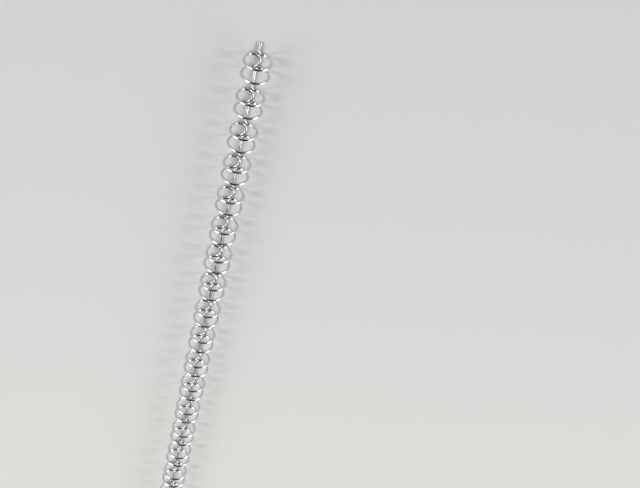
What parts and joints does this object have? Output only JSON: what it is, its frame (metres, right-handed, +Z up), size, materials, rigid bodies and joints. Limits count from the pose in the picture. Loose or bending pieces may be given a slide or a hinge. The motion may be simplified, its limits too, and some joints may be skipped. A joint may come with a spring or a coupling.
{
  "type": "wire binding spine",
  "caption": "Twin-loop binding spine: one continuous bright wire bent into paired rings and crimped shut, which carries punched pages.",
  "frame": {"origin": "on the surface that the closed spine lies on, under the middle of its length and width", "axes": "+X along the spine, +Y across it on the side of the base links, +Z up through the rings"},
  "size_m": [0.2714, 0.0098, 0.0092],
  "materials": {
    "plated_wire": "bright plated steel wire with faint drawing lines"
  },
  "bodies": {
    "root": {"twin_loop_wire": "plated_wire"}
  },
  "joints": []
}
